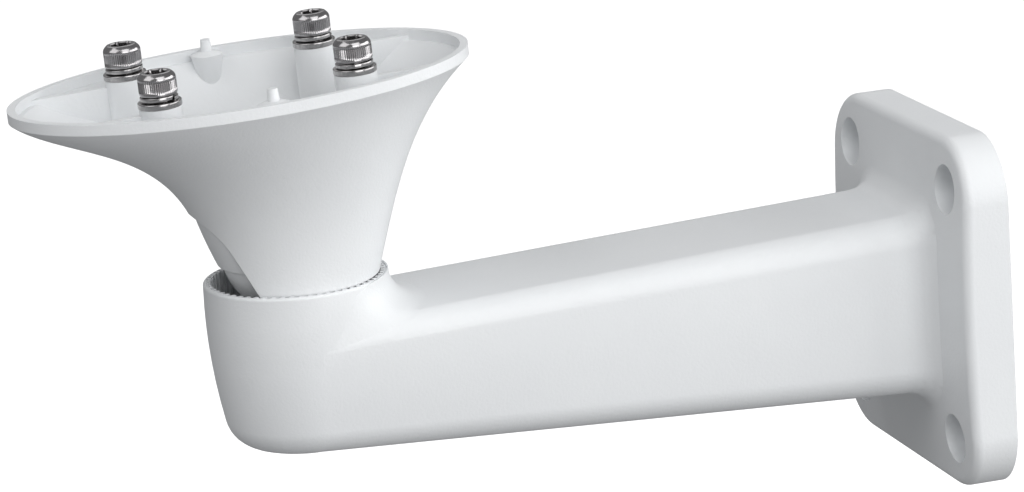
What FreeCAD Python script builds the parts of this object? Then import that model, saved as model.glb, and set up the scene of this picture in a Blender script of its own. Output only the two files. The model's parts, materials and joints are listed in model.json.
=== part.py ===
"""Wall bracket of a security camera: hollow arm, splined cup, ball joint and trumpet head.

Millimetres, +Z up.  The wall face of the plate is the plane X = 0, its hole pattern is
centred on the origin, and the arm reaches out along -X.  The pan axis is the vertical
axis of the cup, and the tilt axis runs along Y through the centre of the ball.
"""
import FreeCAD, Part
import math
import os
import Sketcher
from FreeCAD import Placement, Rotation, Vector

doc = FreeCAD.newDocument("camera_bracket")

# ---------------------------------------------------------------------------
# Driving dimensions
# ---------------------------------------------------------------------------
SIZES = {
    # wall plate
    "plate_width": 96.0,
    "plate_height": 98.0,
    "plate_edge": 11.6,
    "plate_crown": 1.8,
    "plate_corner": 17.0,
    "plate_round": 2.6,
    "wall_hole_y": 68.0,
    "wall_hole_z": 70.0,
    "wall_bore": 8.5,
    "wall_cbore": 13.6,
    "wall_web": 5.0,
    # arm
    "reach": 185.0,
    "arm_width": 49.4,
    "arm_root": 50.4,
    "arm_tip": 17.8,
    "arm_round": 8.0,
    "tip_round": 6.0,
    "arm_crown": 0.4,
    "arm_wall": 4.0,
    "channel_round": 4.0,
    "channel_tip_width": 33.0,
    "channel_tip_height": 26.0,
    "root_blend": 7.0,
    # cup
    "cup_top": 28.1,
    "cup_depth": 45.4,
    "cup_radius": 24.7,
    "cup_corner": 9.0,
    "cup_swell": 24.2,
    "cup_belly": 22.3,
    "cup_lip": 0.8,
    "spline_tip": 22.6,
    "spline_root": 23.7,
    "spline_count": 60,
    "spline_depth": 20.0,
    "well_radius": 18.0,
    "well_depth": 41.4,
    "post_radius": 10.5,
    "post_depth": 28.0,
    "plug_recess": 9.2,
    "plug_thick": 2.4,
    "plug_gap": 0.1,
    "post_cap": 6.0,
    # ball joint
    "ball_up": 9.0,
    "ball_radius": 19.6,
    "ball_gap": 0.3,
    "shell_wall": 3.5,
    "neck_radius": 9.0,
    "hub_top": 15.2,
    "hub_spigot": 6.0,
    "hub_gap": 0.35,
    "cable_y": 13.2,
    "cable_radius": 3.8,
    "saddle_radius": 9.0,
    "saddle_thick": 3.0,
    # clamp bolt, M8
    "clamp_dia": 8.0,
    "clamp_play": 0.6,
    "clamp_flats": 13.0,
    "clamp_head": 5.3,
    "clamp_nut": 6.5,
    "clamp_end": 1.4,
    "thread_gap": 0.05,
    "nut_gap": 0.1,
    "clamp_washer_dia": 15.0,
    "clamp_washer_thick": 1.6,
    "clamp_spring_dia": 13.0,
    "clamp_spring_thick": 2.0,
    # head
    "rest_tilt": 2.6,
    "tilt_down": 30.0,
    "tilt_up": 8.0,
    "flare_low": -0.7,
    "skirt_radius": 22.2,
    "flare_high": 53.3,
    "rim_top": 56.2,
    "rim_centre": 8.5,
    "rim_half_x": 61.7,
    "rim_half_y": 42.6,
    "rim_lip": 2.2,
    "rim_ledge": 1.5,
    "cavity_floor": 21.0,
    "notch_half": 13.4,
    "notch_foot": 17.0,
    "notch_top": 21.5,
    "notch_lip": 6.0,
    # housing screws, M6
    "seat_x": 52.1,
    "seat_y": 41.6,
    "seat_radius": 5.6,
    "rib_thick": 2.4,
    "rib_drop": 1.6,
    "screw_dia": 6.0,
    "screw_length": 14.0,
    "tap_spare": 1.2,
    "screw_head_dia": 10.0,
    "screw_head": 6.0,
    "screw_flats": 5.0,
    "spring_dia": 10.0,
    "spring_thick": 1.6,
    "washer_dia": 11.5,
    "washer_thick": 1.6,
    "pin_spread": 36.9,
    "pin_foot": 1.65,
    "pin_tip": 1.3,
    "pin_height": 3.2,
    "pin_boss": 4.6,
    "pin_cap": 0.9,
}

sheet = doc.addObject("Spreadsheet::Sheet", "Sizes")
for row, (alias, value) in enumerate(SIZES.items(), start=1):
    sheet.set("A%d" % row, alias)
    sheet.set("B%d" % row, str(value))
    sheet.setAlias("B%d" % row, alias)
doc.recompute()

X_AXIS = Vector(1, 0, 0)
Y_AXIS = Vector(0, 1, 0)
Z_AXIS = Vector(0, 0, 1)
CLAMP_HOLE = "(Sizes.clamp_dia + Sizes.clamp_play) / 2"
TAP_DEPTH = "(Sizes.screw_length - Sizes.washer_thick - Sizes.spring_thick + Sizes.tap_spare)"


def size(alias):
    """Value of a sheet cell, for the places where a formula needs the number."""
    return float(sheet.get(alias))


def plane(body, role):
    """One of the body's own origin planes or axes."""
    return next(f for f in body.Origin.OriginFeatures if f.Role == role)


def new_body(label):
    body = doc.addObject("PartDesign::Body", label)
    body.Label = label
    return body


def new_sketch(body, name, role="XY_Plane"):
    sketch = body.newObject("Sketcher::SketchObject", name)
    sketch.AttachmentSupport = [(plane(body, role), "")]
    sketch.MapMode = "FlatFace"
    return sketch


def bind_all(thing, **formulas):
    """Bind properties to the sheet; a double underscore stands for a dot."""
    for name, formula in formulas.items():
        thing.setExpression(name.replace("__", "."), formula)


def add_circle(sketch, formula, centre=(0.0, 0.0)):
    """A circle about a fixed centre whose radius is bound to a formula."""
    index = sketch.addGeometry(Part.Circle(Vector(centre[0], centre[1], 0), Z_AXIS, 5.0), False)
    if centre == (0.0, 0.0):
        sketch.addConstraint(Sketcher.Constraint("Coincident", index, 3, -1, 1))
    radius = sketch.addConstraint(Sketcher.Constraint("Radius", index, 5.0))
    sketch.setExpression("Constraints[%d]" % radius, formula)
    return index


def add_outline(sketch, points, arcs=()):
    """Closed outline of straight runs and three-point arcs.

    points are (x, y) corners; arcs maps the index of a run to its middle point.
    """
    bends = dict(arcs)
    for index, start in enumerate(points):
        end = points[(index + 1) % len(points)]
        a, b = Vector(start[0], start[1], 0), Vector(end[0], end[1], 0)
        if index in bends:
            middle = Vector(bends[index][0], bends[index][1], 0)
            sketch.addGeometry(Part.Arc(a, middle, b), False)
        else:
            sketch.addGeometry(Part.LineSegment(a, b), False)


def add_polygon(sketch, flats_formula):
    """Regular hexagon about the origin, across flats bound to a formula."""
    apothem = 5.0
    corner = apothem / math.cos(math.pi / 6)
    ring = [Vector(corner * math.cos(k * math.pi / 3), corner * math.sin(k * math.pi / 3), 0)
            for k in range(6)]
    for k in range(6):
        sketch.addGeometry(Part.LineSegment(ring[k], ring[(k + 1) % 6]), False)
    guide = sketch.addGeometry(Part.Circle(Vector(0, 0, 0), Z_AXIS, corner), True)
    sketch.addConstraint(Sketcher.Constraint("Coincident", guide, 3, -1, 1))
    for k in range(6):
        sketch.addConstraint(Sketcher.Constraint("Coincident", k, 2, (k + 1) % 6, 1))
        sketch.addConstraint(Sketcher.Constraint("PointOnObject", k, 1, guide))
    for k in range(1, 6):
        sketch.addConstraint(Sketcher.Constraint("Equal", 0, k))
    sketch.addConstraint(Sketcher.Constraint("PointOnObject", 0, 1, -1))
    radius = sketch.addConstraint(Sketcher.Constraint("Radius", guide, corner))
    sketch.setExpression("Constraints[%d]" % radius, "(%s) / 2 / cos(30)" % flats_formula)


def rounded_rectangle(sketch, width, height, corner, start):
    """Centred rectangle with equal round corners, bound to three formulas.

    start gives near values (width, height, corner) for the solver.
    """
    w, h, r = start[0] / 2, start[1] / 2, start[2]
    centres = [(w - r, h - r), (r - w, h - r), (r - w, r - h), (w - r, r - h)]
    for k, (cx, cy) in enumerate(centres):
        circle = Part.Circle(Vector(cx, cy, 0), Z_AXIS, r)
        sketch.addGeometry(Part.ArcOfCircle(circle, k * math.pi / 2, (k + 1) * math.pi / 2), False)
    joins = [((w - r, h), (r - w, h)), ((-w, h - r), (-w, r - h)),
             ((r - w, -h), (w - r, -h)), ((w, r - h), (w, h - r))]
    for (ax, ay), (bx, by) in joins:
        sketch.addGeometry(Part.LineSegment(Vector(ax, ay, 0), Vector(bx, by, 0)), False)
    for k in range(4):
        sketch.addConstraint(Sketcher.Constraint("Tangent", k, 2, 4 + k, 1))
        sketch.addConstraint(Sketcher.Constraint("Tangent", 4 + k, 2, (k + 1) % 4, 1))
    for k in range(1, 4):
        sketch.addConstraint(Sketcher.Constraint("Equal", 0, k))
    sketch.addConstraint(Sketcher.Constraint("Horizontal", 4))
    sketch.addConstraint(Sketcher.Constraint("Vertical", 5))
    sketch.addConstraint(Sketcher.Constraint("Symmetric", 0, 3, 2, 3, -1, 1))
    across = sketch.addConstraint(Sketcher.Constraint("DistanceX", 1, 3, 0, 3, 2 * (w - r)))
    upward = sketch.addConstraint(Sketcher.Constraint("DistanceY", 2, 3, 1, 3, 2 * (h - r)))
    radius = sketch.addConstraint(Sketcher.Constraint("Radius", 0, r))
    sketch.setExpression("Constraints[%d]" % across, "(%s) - 2 * (%s)" % (width, corner))
    sketch.setExpression("Constraints[%d]" % upward, "(%s) - 2 * (%s)" % (height, corner))
    sketch.setExpression("Constraints[%d]" % radius, corner)


def edges_where(shape, test):
    """Names of the edges that pass a test."""
    return ["Edge%d" % (k + 1) for k, edge in enumerate(shape.Edges) if test(edge)]


def fillet_edges(body, base, names, radius_formula):
    fillet = body.newObject("PartDesign::Fillet", "Fillet")
    fillet.Base = (base, names)
    fillet.Radius = 1.0
    fillet.setExpression("Radius", radius_formula)
    return fillet


def revolve(body, sketch, subtract=False):
    kind = "PartDesign::Groove" if subtract else "PartDesign::Revolution"
    turn = body.newObject(kind, "Turn")
    turn.Profile = sketch
    turn.ReferenceAxis = (sketch, ["V_Axis"])
    turn.Angle = 360.0
    return turn


def pad(body, sketch, length_formula, reverse=False):
    block = body.newObject("PartDesign::Pad", "Pad")
    block.Profile = sketch
    block.Length = 1.0
    block.setExpression("Length", length_formula)
    block.Reversed = reverse
    return block


def pocket(body, sketch, length_formula, reverse=False):
    cut = body.newObject("PartDesign::Pocket", "Pocket")
    cut.Profile = sketch
    cut.Length = 1.0
    cut.setExpression("Length", length_formula)
    cut.Reversed = reverse
    return cut


def loft(body, sketches, subtract=False):
    kind = "PartDesign::SubtractiveLoft" if subtract else "PartDesign::AdditiveLoft"
    skin = body.newObject(kind, "Loft")
    skin.Profile = sketches[0]
    skin.Sections = sketches[1:]
    skin.Ruled = True
    return skin


def at_cup(part, height_formula="0"):
    """Stand a part on the pan axis, at a height above the cup's rim."""
    bind_all(part, Placement__Base__x="-Sizes.reach",
             Placement__Base__z="Sizes.cup_top + %s" % height_formula)


SUBPARTS = []


def keep(part, label):
    part.Label = label
    SUBPARTS.append(part)
    return part


# ---------------------------------------------------------------------------
# Arm casting: wall plate, hollow tapered arm and splined cup
# ---------------------------------------------------------------------------
def plate_block(body):
    """Wall plate with a crowned front face and round corners."""
    side = new_sketch(body, "plate_side", "XZ_Plane")
    half, edge, crown = size("plate_height") / 2, size("plate_edge"), size("plate_crown")
    add_outline(side, [(0, -half), (0, half), (-edge, half), (-edge, -half)],
                {2: (-edge - crown, 0)})
    block = body.newObject("PartDesign::Pad", "plate_pad")
    block.Profile = side
    block.SideType = "Symmetric"
    block.Length = 1.0
    block.setExpression("Length", "Sizes.plate_width")
    doc.recompute()
    corners = edges_where(block.Shape, lambda e: abs(abs(e.tangentAt(e.FirstParameter).x) - 1) < 1e-6
                          and e.Curve.TypeId == "Part::GeomLine")
    rounded = fillet_edges(body, block, corners, "Sizes.plate_corner")
    doc.recompute()
    front = edges_where(rounded.Shape, lambda e: e.BoundBox.XMax < -size("plate_edge") / 2)
    soft = fillet_edges(body, rounded, front, "Sizes.plate_round")
    doc.recompute()
    return soft


def across_arm(body, name, distance_formula):
    """Empty sketch across the arm, at a distance from the wall."""
    sketch = new_sketch(body, name, "YZ_Plane")
    sketch.setExpression("AttachmentOffset.Base.z", "-(%s)" % distance_formula)
    return sketch


ROOT_STEPS = 4


def arm_skin_section(body, name, distance_formula, half_width, top, bottom, belly, foot, swell=0.0):
    """Outer outline across the arm, symmetric about its middle plane.

    belly is the (half width, height) where a side turns into the round lower corner, and
    foot the half width of the flat underside.  Sides and lower corners are arcs, so that
    the tip can take the very profile of the cup.  swell grows the outline all round.
    """
    sketch = across_arm(body, name, distance_formula)
    corner = (size("tip_round") if foot == cup_base() else size("arm_round")) + swell
    half_width, top, bottom = half_width + swell, top + swell, bottom - swell
    belly_y, belly_z = belly[0] + swell, belly[1]
    slant = math.sqrt(0.5)
    top_corner = (half_width - corner * (1 - slant), top - corner * (1 - slant))
    if foot == cup_base():
        side = cup_side_point((belly_z + top - corner) / 2)
        low_corner = cup_base_middle()
        half_width = cup_side_point(top - corner)[0]
    else:
        side = ((half_width + belly_y) / 2 + size("arm_crown"), (belly_z + top - corner) / 2)
        low_corner = (foot + (belly_y - foot) * slant, bottom + (belly_z - bottom) * (1 - slant))
    right = [(-foot, bottom), (foot, bottom), (belly_y, belly_z), (half_width, top - corner),
             (half_width - corner, top)]
    left = [(-y, z) for y, z in reversed(right[2:])]
    mirror = [(-y, z) for y, z in (top_corner, side, low_corner)]
    add_outline(sketch, right + left, {1: low_corner, 2: side, 3: top_corner,
                                       5: mirror[0], 6: mirror[1], 7: mirror[2]})
    return sketch


def root_flare(body, outline):
    """Outlines of the hollow quarter round between the plate's face and the arm."""
    steps = []
    for k in range(ROOT_STEPS + 1):
        turn = math.radians(90.0 * k / ROOT_STEPS)
        away = "Sizes.plate_edge + Sizes.plate_crown / 2 + %.6f * Sizes.root_blend" % (1 - math.cos(turn))
        swell = size("root_blend") * (1 - math.sin(turn))
        steps.append(arm_skin_section(body, "arm_root_%d" % k, away, *outline, swell=swell))
    return steps


def channel_section(body, name, distance_formula, width_formula, height_formula, near):
    """Rounded rectangle of the cable channel; near gives its size for the solver."""
    sketch = across_arm(body, name, distance_formula)
    rounded_rectangle(sketch, width_formula, height_formula, "Sizes.channel_round",
                      (near[0], near[1], size("channel_round")))
    return sketch


def cup_arc():
    """Centre and radius of the barrel's side, as (radius, height) from the pan axis."""
    x1, z1 = size("cup_belly"), size("cup_top") - 0.77 * size("cup_depth")
    x2, z2 = size("cup_swell"), size("cup_top") - 0.46 * size("cup_depth")
    x3, z3 = size("cup_radius"), size("cup_top") - size("cup_lip")
    circle = Part.Arc(Vector(x1, z1, 0), Vector(x2, z2, 0), Vector(x3, z3, 0)).toShape().Curve
    return circle.Center.x, circle.Center.y, circle.Radius


def cup_side_point(height):
    """Point of the barrel's side at a height."""
    cx, cz, radius = cup_arc()
    return cx + math.sqrt(radius ** 2 - (height - cz) ** 2), height


def cup_corner_centre():
    """Centre of the round corner that touches both the flat base and the barrel's side."""
    cx, cz, radius = cup_arc()
    corner = size("cup_corner")
    height = size("cup_top") - size("cup_depth") + corner
    return cx + math.sqrt((radius - corner) ** 2 - (height - cz) ** 2), height


def cup_base():
    """Radius of the flat base."""
    return cup_corner_centre()[0]


def cup_belly():
    """Point where the barrel's side runs into its round lower corner."""
    cx, cz, radius = cup_arc()
    x, z = cup_corner_centre()
    reach_out = size("cup_corner") / (radius - size("cup_corner"))
    return x + (x - cx) * reach_out, z + (z - cz) * reach_out


def cup_base_middle():
    """Point halfway round the lower corner."""
    x, z = cup_corner_centre()
    belly_x, belly_z = cup_belly()
    half = (math.atan2(belly_z - z, belly_x - x) - math.pi / 2) / 2
    return x + size("cup_corner") * math.cos(half), z + size("cup_corner") * math.sin(half)


def cup_outline(body):
    """Barrel of the cup: straight at the rim, drawn in towards a rounded base."""
    sketch = new_sketch(body, "cup_side", "XZ_Plane")
    sketch.AttachmentOffset = Placement(Vector(-size("reach"), 0, 0), Rotation())
    sketch.setExpression("AttachmentOffset.Base.x", "-Sizes.reach")
    top, lip = size("cup_top"), size("cup_lip")
    rim, bottom = size("cup_radius"), top - size("cup_depth")
    add_outline(sketch, [(0, bottom), (cup_base(), bottom), cup_belly(), (rim, top - lip),
                         (rim - lip, top), (0, top)],
                {1: cup_base_middle(), 2: cup_side_point(top - 0.46 * size("cup_depth")),
                 3: (rim - 0.3 * lip, top - 0.3 * lip)})
    return sketch


def spline_outline(body):
    """Straight-sided internal splines of the cup, one closed outline."""
    sketch = new_sketch(body, "spline_ring", "XY_Plane")
    sketch.AttachmentOffset = Placement(Vector(-size("reach"), 0, size("cup_top")), Rotation())
    bind_all(sketch, AttachmentOffset__Base__x="-Sizes.reach", AttachmentOffset__Base__z="Sizes.cup_top")
    count = int(size("spline_count"))
    tip, root = size("spline_tip"), size("spline_root")
    step = 2 * math.pi / count
    turns = [(tip, 0.0), (tip, 0.40 * step), (root, 0.50 * step), (root, 0.90 * step)]
    ring = [(r * math.cos(k * step + a), r * math.sin(k * step + a))
            for k in range(count) for r, a in turns]
    add_outline(sketch, ring)
    return sketch


def shaft_sketch(body, name, *radius_formulas):
    """Concentric circles about the pan axis, at the height of the cup's rim."""
    sketch = new_sketch(body, name)
    bind_all(sketch, AttachmentOffset__Base__x="-Sizes.reach", AttachmentOffset__Base__z="Sizes.cup_top")
    for formula in radius_formulas:
        add_circle(sketch, formula)
    return sketch


def bore_cup(body):
    """Splined mouth, plain well below it, and the post that the clamp bolt goes through."""
    pocket(body, spline_outline(body), "Sizes.spline_depth")
    pocket(body, shaft_sketch(body, "well", "Sizes.well_radius"), "Sizes.post_depth")
    pocket(body, shaft_sketch(body, "post_ring", "Sizes.well_radius", "Sizes.post_radius"),
           "Sizes.well_depth")
    pocket(body, shaft_sketch(body, "bolt_hole", CLAMP_HOLE), "Sizes.cup_depth + 1")
    base = "Sizes.cup_top - Sizes.cup_depth"
    recess = new_sketch(body, "plug_seat")
    bind_all(recess, AttachmentOffset__Base__x="-Sizes.reach", AttachmentOffset__Base__z=base)
    add_circle(recess, "Sizes.plug_recess")
    pocket(body, recess, "Sizes.plug_thick", reverse=True)
    nut = new_sketch(body, "nut_seat")
    bind_all(nut, AttachmentOffset__Base__x="-Sizes.reach", AttachmentOffset__Base__z=base)
    add_polygon(nut, "Sizes.clamp_flats + 2 * Sizes.nut_gap")
    pocket(body, nut, "Sizes.cup_depth - Sizes.post_depth - Sizes.post_cap", reverse=True)


def drill_plate(body):
    """Four wall holes, each with a round recess for the head of its bolt."""
    for name, web, radius, length in (
            ("bores", "0", "Sizes.wall_bore / 2", "Sizes.wall_web"),
            ("recesses", "Sizes.wall_web", "Sizes.wall_cbore / 2", "Sizes.plate_edge")):
        sketch = new_sketch(body, name, "YZ_Plane")
        sketch.setExpression("AttachmentOffset.Base.z", "-(%s)" % web)
        circle = sketch.addGeometry(Part.Circle(Vector(30, 30, 0), Z_AXIS, 4.0), False)
        across = sketch.addConstraint(Sketcher.Constraint("DistanceX", -1, 1, circle, 3, 30.0))
        upward = sketch.addConstraint(Sketcher.Constraint("DistanceY", -1, 1, circle, 3, 30.0))
        around = sketch.addConstraint(Sketcher.Constraint("Radius", circle, 4.0))
        sketch.setExpression("Constraints[%d]" % across, "Sizes.wall_hole_y / 2")
        sketch.setExpression("Constraints[%d]" % upward, "Sizes.wall_hole_z / 2")
        sketch.setExpression("Constraints[%d]" % around, radius)
        cut = pocket(body, sketch, length)
        doc.recompute()
        rows = body.newObject("PartDesign::MultiTransform", "corners")
        rows.Originals = [cut]
        flip_y = body.newObject("PartDesign::Mirrored", "flip_y")
        flip_y.MirrorPlane = (plane(body, "XZ_Plane"), [""])
        flip_z = body.newObject("PartDesign::Mirrored", "flip_z")
        flip_z.MirrorPlane = (plane(body, "XY_Plane"), [""])
        rows.Transformations = [flip_y, flip_z]
        body.Tip = rows
        doc.recompute()


def make_arm_casting():
    body = new_body("arm_casting")
    plate_block(body)
    width, corner, low = size("arm_width") / 2, size("arm_round"), size("arm_root") / 2
    outline = (width, low, -low, (width, corner - low), width - corner)
    inside = arm_skin_section(body, "arm_foot", "Sizes.plate_edge / 2", *outline, swell=size("root_blend"))
    tip = arm_skin_section(body, "arm_tip_section", "Sizes.reach", width, size("arm_tip"),
                           size("cup_top") - size("cup_depth"), cup_belly(), cup_base())
    loft(body, [inside] + root_flare(body, outline) + [tip])
    doc.recompute()
    revolve(body, cup_outline(body))
    doc.recompute()
    wall = 2 * size("arm_wall")
    mouth = channel_section(body, "channel_mouth", "0", "Sizes.arm_width - 2 * Sizes.arm_wall",
                            "Sizes.arm_root - 2 * Sizes.arm_wall",
                            (size("arm_width") - wall, size("arm_root") - wall))
    inner = channel_section(body, "channel_end", "Sizes.reach - Sizes.well_radius / 2",
                            "Sizes.channel_tip_width", "Sizes.channel_tip_height",
                            (size("channel_tip_width"), size("channel_tip_height")))
    loft(body, [mouth, inner], subtract=True)
    doc.recompute()
    bore_cup(body)
    doc.recompute()
    drill_plate(body)
    return keep(body, "arm_casting")


# ---------------------------------------------------------------------------
# Clamp stack on the pan axis
# ---------------------------------------------------------------------------
def make_ball_knuckle():
    """Ball on a narrow neck, standing on a round hub that seats in the cup."""
    body = new_body("ball_knuckle")
    side = new_sketch(body, "knuckle_side", "XZ_Plane")
    ball, up, neck = size("ball_radius"), size("ball_up"), size("neck_radius")
    spigot = size("well_radius") - size("hub_gap")
    hub = size("spline_tip") - size("hub_gap")
    seat, top = -size("spline_depth"), -size("hub_top")
    foot = seat - size("hub_spigot")
    join = up - math.sqrt(ball ** 2 - neck ** 2)
    add_outline(side, [(0, foot), (spigot, foot), (spigot, seat), (hub, seat), (hub, top),
                       (neck, top), (neck, join), (0, up + ball)], {6: (ball, up)})
    revolve(body, side)
    doc.recompute()
    bolt = new_sketch(body, "bolt_hole")
    add_circle(bolt, CLAMP_HOLE)
    bolt.setExpression("AttachmentOffset.Base.z", "Sizes.ball_up + Sizes.ball_radius")
    pocket(body, bolt, "Sizes.spline_depth + Sizes.hub_spigot + Sizes.ball_up + Sizes.ball_radius")
    for name, sign in (("cable_hole_back", 1), ("cable_hole_front", -1)):
        cable = new_sketch(body, name)
        bind_all(cable, AttachmentOffset__Base__y="%d * Sizes.cable_y" % sign,
                 AttachmentOffset__Base__z="Sizes.ball_up + Sizes.ball_radius")
        add_circle(cable, "Sizes.cable_radius")
        pocket(body, cable, "Sizes.spline_depth + Sizes.hub_spigot + Sizes.ball_up + Sizes.ball_radius")
    at_cup(body)
    return keep(body, "ball_knuckle")


def saddle_base():
    """Height of the saddle's flat top above the cup's rim."""
    return size("ball_up") + size("ball_radius") + size("ball_gap") + size("shell_wall") + saddle_core()


def saddle_core():
    """Thickness of the saddle on the axis, above the gap over the shell."""
    return size("ball_gap") + 0.6 * size("saddle_thick")


def make_ball_saddle():
    """Round washer whose hollow underside sits over the head's dome."""
    body = new_body("ball_saddle")
    side = new_sketch(body, "saddle_side", "XZ_Plane")
    inner = size("ball_radius") + 2 * size("ball_gap") + size("shell_wall")
    up, edge, top = size("ball_up"), size("saddle_radius"), saddle_base()
    half = math.asin(edge / inner) / 2
    add_outline(side, [(0, up + inner), (edge, up + math.sqrt(inner ** 2 - edge ** 2)), (edge, top), (0, top)],
                {0: (inner * math.sin(half), up + inner * math.cos(half))})
    revolve(body, side)
    doc.recompute()
    bolt = new_sketch(body, "bolt_hole")
    add_circle(bolt, CLAMP_HOLE)
    bolt.AttachmentOffset = Placement(Vector(0, 0, top), Rotation())
    pocket(body, bolt, "Sizes.saddle_thick * 4")
    at_cup(body)
    return keep(body, "ball_saddle")


def make_ring(label, outer_formula, inner_formula, thick_formula, split=False):
    """Flat ring standing on its own origin plane; a split one is a spring washer."""
    body = new_body(label)
    sketch = new_sketch(body, "ring")
    add_circle(sketch, outer_formula)
    add_circle(sketch, inner_formula)
    pad(body, sketch, thick_formula)
    doc.recompute()
    if split:
        slit = new_sketch(body, "slit", "XZ_Plane")
        thick = body.Tip.Length.Value
        lean, gap = 0.35 * thick, 0.25 * thick
        add_outline(slit, [(-lean - gap, 0), (-lean + gap, 0), (lean + gap, thick), (lean - gap, thick)])
        pocket(body, slit, outer_formula)
    return keep(body, label)


def make_clamp_bolt(level):
    """Hexagon bolt through saddle, dome, ball and cup; level is the height under its head."""
    body = new_body("clamp_bolt")
    head = new_sketch(body, "hexagon")
    add_polygon(head, "Sizes.clamp_flats")
    pad(body, head, "Sizes.clamp_head")
    shank = new_sketch(body, "shank")
    add_circle(shank, "Sizes.clamp_dia / 2")
    below = "Sizes.post_depth + Sizes.post_cap + Sizes.clamp_nut + Sizes.clamp_end"
    pad(body, shank, "%.6f + %s" % (level, below), reverse=True)
    at_cup(body, "%.6f" % level)
    return keep(body, "clamp_bolt")


def make_clamp_nut():
    body = new_body("clamp_nut")
    sketch = new_sketch(body, "hexagon")
    add_polygon(sketch, "Sizes.clamp_flats")
    add_circle(sketch, "Sizes.clamp_dia / 2 + Sizes.thread_gap")
    pad(body, sketch, "Sizes.clamp_nut", reverse=True)
    at_cup(body, "(-Sizes.post_depth - Sizes.post_cap)")
    return keep(body, "clamp_nut")


def make_cup_plug():
    """Cap that closes the nut's pocket from below."""
    body = new_body("cup_plug")
    sketch = new_sketch(body, "disc")
    add_circle(sketch, "Sizes.plug_recess - Sizes.plug_gap")
    pad(body, sketch, "Sizes.plug_thick")
    at_cup(body, "(-Sizes.cup_depth)")
    return keep(body, "cup_plug")


# ---------------------------------------------------------------------------
# Trumpet head.  Its own origin is the ball's centre.
# ---------------------------------------------------------------------------
HEAD_FRAME = Placement(Vector(-size("reach"), 0, size("cup_top") + size("ball_up")),
                       Rotation(Y_AXIS, -size("rest_tilt")))
SHELL = "(Sizes.ball_radius + Sizes.ball_gap + Sizes.shell_wall)"
FOOT_RADIUS = "Sizes.skirt_radius"
FLARE_STEPS = 8


def growth(u):
    """How far each side of the flare has opened at a share u of its height.

    Returned for the back (+X), the front (-X) and the two flanks.
    """
    back = 0.62 * u + 0.38 * u ** 4
    front = 0.12 * u + 0.88 * u ** 3.4 + 2.4 * u ** 10 * (1 - u)
    flank = u ** 2.3
    return back, front, flank


def ellipse_at(name, height, centre, half_x, half_y):
    """Ellipse across the head; all four arguments are formulas."""
    ring = doc.addObject("Part::Ellipse", name)
    ring.MajorRadius = 60.0
    ring.MinorRadius = 20.0
    bind_all(ring, MajorRadius=half_x, MinorRadius=half_y, Placement__Base__x=centre,
             Placement__Base__z="%s - Sizes.ball_up" % height)
    return ring


def flare_ring(name, u, inset):
    """One section of the flare, moved inwards by an inset formula."""
    back, front, flank = growth(u)
    reach_back = "(%s + %.6f * (Sizes.rim_half_x - Sizes.rim_centre - %s))" % (FOOT_RADIUS, back, FOOT_RADIUS)
    reach_front = "(%s + %.6f * (Sizes.rim_half_x + Sizes.rim_centre - %s))" % (FOOT_RADIUS, front, FOOT_RADIUS)
    reach_side = "(%s + %.6f * (Sizes.rim_half_y - %s))" % (FOOT_RADIUS, flank, FOOT_RADIUS)
    height = "(Sizes.flare_low + %.6f * (Sizes.flare_high - Sizes.flare_low))" % u
    return ellipse_at(name, height, "(%s - %s) / 2" % (reach_back, reach_front),
                      "(%s + %s) / 2 - %s" % (reach_back, reach_front, inset), "%s - %s" % (reach_side, inset))


def make_loft(name, rings, ruled=False):
    skin = doc.addObject("Part::Loft", name)
    skin.Sections = rings
    skin.Solid = True
    skin.Ruled = ruled
    return skin


def rim_slab(name, low_formula, high_formula, inset):
    rings = [ellipse_at(name + tag, formula, "-Sizes.rim_centre", "Sizes.rim_half_x - %s" % inset,
                        "Sizes.rim_half_y - %s" % inset)
             for tag, formula in (("_low", low_formula), ("_high", high_formula))]
    return make_loft(name, rings, ruled=True)


def fuse(name, *shapes):
    union = doc.addObject("Part::MultiFuse", name)
    union.Shapes = list(shapes)
    return union


def cut(name, base, tool):
    piece = doc.addObject("Part::Cut", name)
    piece.Base = base
    piece.Tool = tool
    return piece


def solid(kind, name, **formulas):
    shape = doc.addObject(kind, name)
    bind_all(shape, **formulas)
    return shape


def seat_places():
    """Centres of the four housing screws: (tag, x sign, y sign)."""
    return [("front_left", -1, -1), ("back_left", -1, 1), ("front_right", 1, -1), ("back_right", 1, 1)]


def seat_x(sign):
    return "(-Sizes.rim_centre + %d * Sizes.seat_x / 2)" % sign


def seat_y(sign):
    return "(%d * Sizes.seat_y / 2)" % sign


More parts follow.
